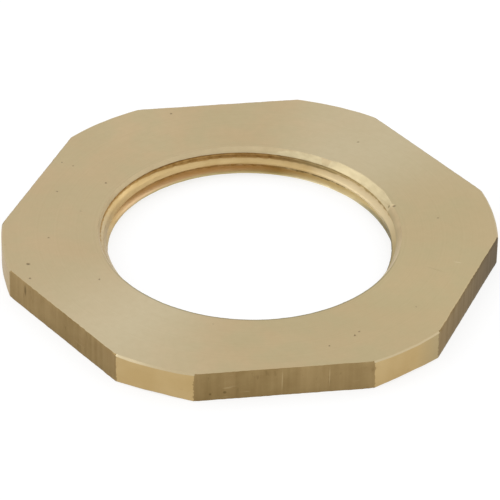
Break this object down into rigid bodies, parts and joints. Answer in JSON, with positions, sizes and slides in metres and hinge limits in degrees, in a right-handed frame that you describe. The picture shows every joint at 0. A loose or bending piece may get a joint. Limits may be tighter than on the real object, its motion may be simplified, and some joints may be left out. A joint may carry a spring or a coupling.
{
  "type": "lock nut",
  "caption": "Flat brass lock nut for a pipe thread, a thin ring with wide spanner flats, turned corners and a threaded through bore.",
  "frame": {"origin": "centre of the bore on the bottom face, on which the nut lies", "axes": "+Z along the thread axis, up out of the top face; +X through the middle of a turned corner; Y across a pair of flats"},
  "size_m": [0.0886, 0.083, 0.0057],
  "materials": {
    "brass": "faced satin on both faces, bright turned corners, darker drawn flats with fine upright streaks"
  },
  "bodies": {
    "root": {"lock_nut": "brass"}
  },
  "joints": []
}
